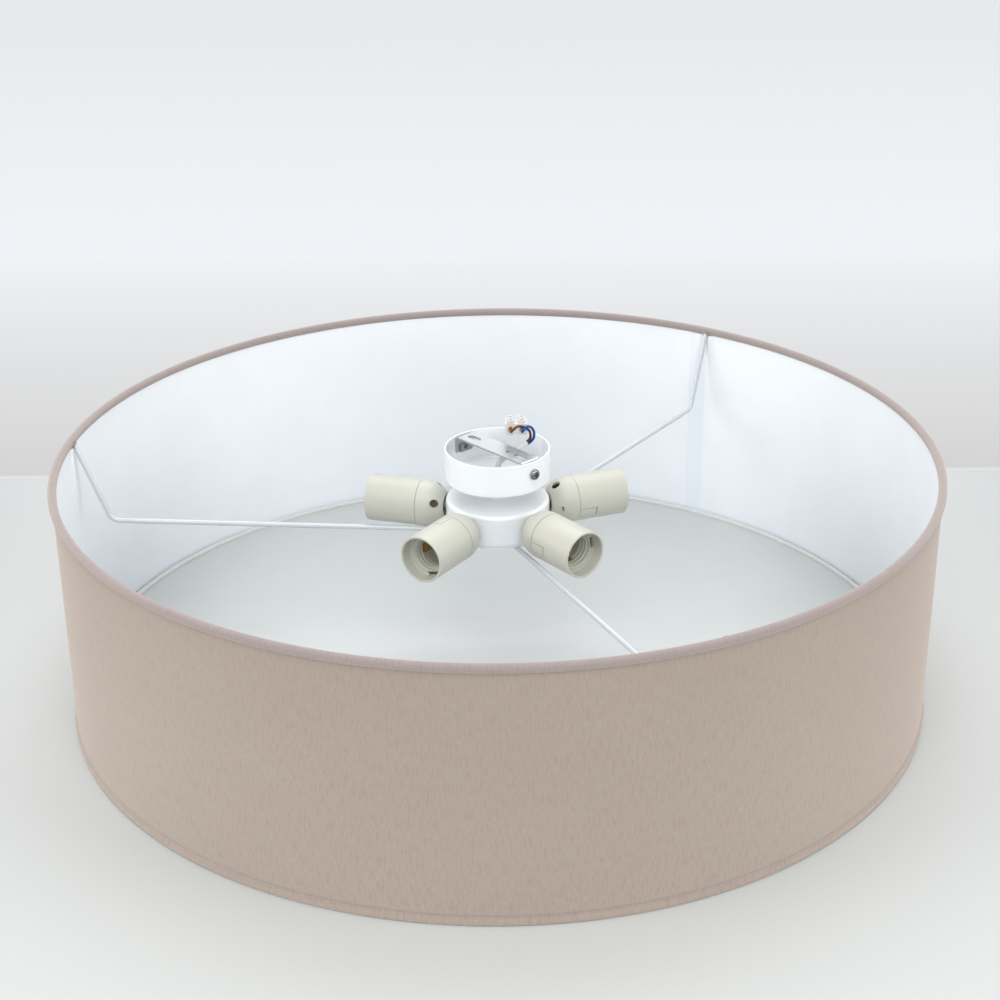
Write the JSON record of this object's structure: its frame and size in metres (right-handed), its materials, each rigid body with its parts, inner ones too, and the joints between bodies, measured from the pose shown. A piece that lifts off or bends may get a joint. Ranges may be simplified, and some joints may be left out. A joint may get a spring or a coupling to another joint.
{
  "type": "flush mount ceiling light",
  "caption": "Flush mount ceiling light: fabric drum shade on wire arms, white canopy and hub with bare lampholders, and a white diffuser lying in the shade.",
  "frame": {"origin": "on the axis of the drum shade, in the plane that its lower hem stands on", "axes": "+Z from the lower hem to the ceiling plane, +X along the ceiling bracket"},
  "size_m": [0.7057, 0.7058, 0.2253],
  "materials": {
    "taupe_fabric": "woven slub",
    "white_liner": "matt film",
    "ring_steel": "drawn wire",
    "white_paint": "gloss",
    "zinc_steel": "zinc plated",
    "screw_steel": "nickel plated",
    "cream_plastic": "satin",
    "white_ceramic": "smooth",
    "contact_brass": "bright",
    "clear_plastic": "translucent",
    "diffuser_white": "satin opal",
    "grey_sheath": "smooth",
    "brown_core": "smooth",
    "blue_core": "smooth"
  },
  "bodies": {
    "fitting": {"bracket_nuts": "zinc_steel", "cable_bush": "grey_sheath", "canopy": "white_paint", "ceiling_bracket": "zinc_steel", "centre_contacts": "contact_brass", "contact_block_1": "white_ceramic", "contact_block_2": "white_ceramic", "contact_block_3": "white_ceramic", "contact_block_4": "white_ceramic", "contact_block_5": "white_ceramic", "holder_nipples": "zinc_steel", "holder_nuts": "zinc_steel", "hub_base_plate": "white_paint", "hub_body": "white_paint", "lampholder_dome_1": "cream_plastic", "lampholder_dome_2": "cream_plastic", "lampholder_dome_3": "cream_plastic", "lampholder_dome_4": "cream_plastic", "lampholder_dome_5": "cream_plastic", "live_lead": "brown_core", "live_links": "brown_core", "neutral_lead": "blue_core", "neutral_links": "blue_core", "nipple_screws": "screw_steel", "side_contacts": "contact_brass", "stem_cable": "grey_sheath", "stem_lock_nuts": "zinc_steel", "stem_sleeve": "white_paint", "stem_tube": "zinc_steel", "supply_cable": "grey_sheath", "terminal_block": "clear_plastic", "terminal_screws": "screw_steel", "terminal_sleeves": "contact_brass"},
    "shade": {"shade_cover": "taupe_fabric", "shade_liner": "white_liner", "upper_hem": "taupe_fabric", "lower_hem": "taupe_fabric", "upper_ring_wire": "ring_steel", "lower_ring_wire": "ring_steel", "spider_arm_1": "white_paint", "spider_arm_2": "white_paint", "spider_arm_3": "white_paint", "spider_ring": "white_paint"},
    "diffuser": {"diffuser_panel": "diffuser_white", "diffuser_hoop": "diffuser_white"},
    "shade_nut": {"shade_nut": "zinc_steel", "shade_washer": "zinc_steel"},
    "canopy_screw_1": {"canopy_screw_1": "screw_steel"},
    "canopy_screw_2": {"canopy_screw_2": "screw_steel"},
    "shell_1": {"lampholder_shell_1": "cream_plastic"},
    "shell_2": {"lampholder_shell_2": "cream_plastic"},
    "shell_3": {"lampholder_shell_3": "cream_plastic"},
    "shell_4": {"lampholder_shell_4": "cream_plastic"},
    "shell_5": {"lampholder_shell_5": "cream_plastic"}
  },
  "joints": [
    {"name": "shade_drop", "type": "slide", "parent": "fitting", "child": "shade", "axis": [0, 0, -1], "range_m": [0, 0.12]},
    {"name": "shade_nut_turn", "type": "hinge", "parent": "shade", "child": "shade_nut", "pos_m": [0, 0, 0.124], "axis": [0, 0, 1], "continuous": true},
    {"name": "diffuser_lift", "type": "slide", "parent": "shade", "child": "diffuser", "axis": [0, 0, 1], "range_m": [0, 0.1]},
    {"name": "canopy_screw_turn_1", "type": "hinge", "parent": "fitting", "child": "canopy_screw_1", "pos_m": [0.042, 0, 0.1938], "axis": [1, 0, 0], "continuous": true},
    {"name": "canopy_screw_turn_2", "type": "hinge", "parent": "fitting", "child": "canopy_screw_2", "pos_m": [-0.042, 0, 0.1938], "axis": [-1, 0, 0], "continuous": true},
    {"name": "shell_pull_1", "type": "slide", "parent": "fitting", "child": "shell_1", "axis": [0.3827, 0.9239, 0], "range_m": [0, 0.03]},
    {"name": "shell_pull_2", "type": "slide", "parent": "fitting", "child": "shell_2", "axis": [-0.7604, 0.6494, 0], "range_m": [0, 0.03]},
    {"name": "shell_pull_3", "type": "slide", "parent": "fitting", "child": "shell_3", "axis": [-0.8526, -0.5225, 0], "range_m": [0, 0.03]},
    {"name": "shell_pull_4", "type": "slide", "parent": "fitting", "child": "shell_4", "axis": [0.2334, -0.9724, 0], "range_m": [0, 0.03]},
    {"name": "shell_pull_5", "type": "slide", "parent": "fitting", "child": "shell_5", "axis": [0.9969, -0.0785, 0], "range_m": [0, 0.03]}
  ]
}
